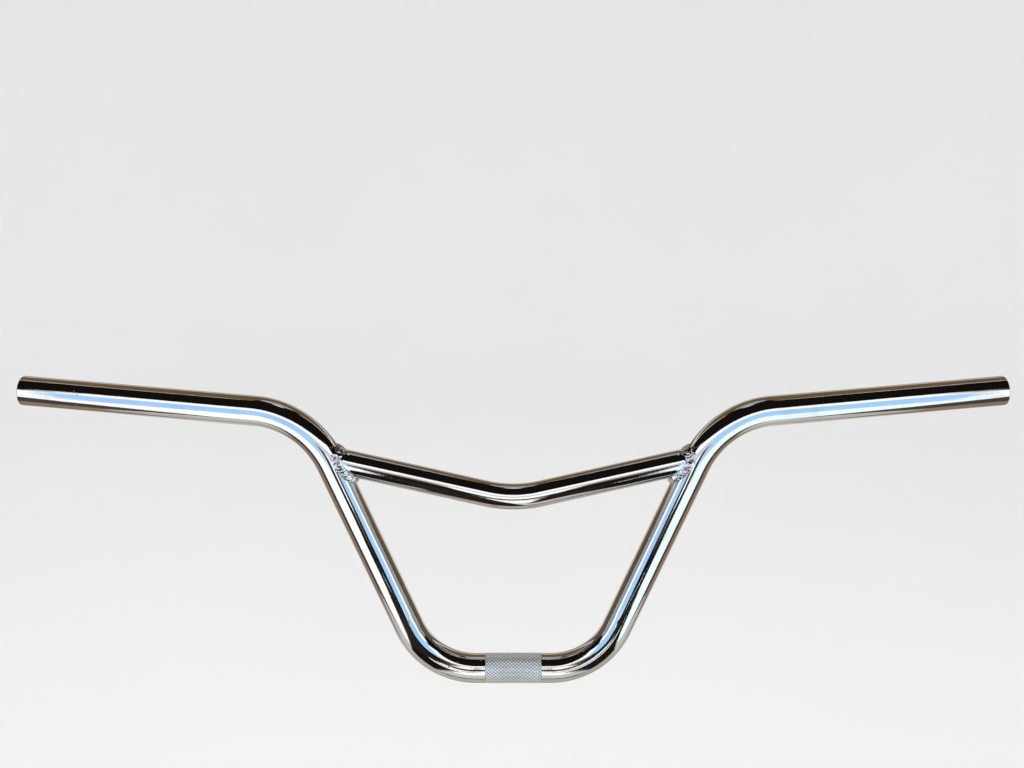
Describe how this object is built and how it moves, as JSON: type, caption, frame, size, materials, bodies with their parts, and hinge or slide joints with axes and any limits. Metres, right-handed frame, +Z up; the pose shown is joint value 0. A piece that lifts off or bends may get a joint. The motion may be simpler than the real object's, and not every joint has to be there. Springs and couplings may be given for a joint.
{
  "type": "bmx handlebar",
  "caption": "Chromed BMX handlebar: a high-rise bent steel tube with a V-shaped crossbar welded between its legs, a knurled clamp section and swept-back arms.",
  "frame": {"origin": "centre of the stem clamp's knurled band, on the lower tube's axis", "axes": "+X along the clamp axis, to the right as seen from the front of the bicycle (left and right in names go by this view), +Y towards the rider, the way the arms sweep, +Z up, the way the bar rises"},
  "size_m": [0.7342, 0.0682, 0.2236],
  "materials": {
    "chrome_plate": "bright polished plating with light handling marks",
    "chrome_weld": "bright plating over an unground weld"
  },
  "bodies": {
    "root": {"main_tube": "chrome_plate", "crossbar": "chrome_plate", "weld_bead_left": "chrome_weld", "weld_bead_right": "chrome_weld"}
  },
  "joints": []
}
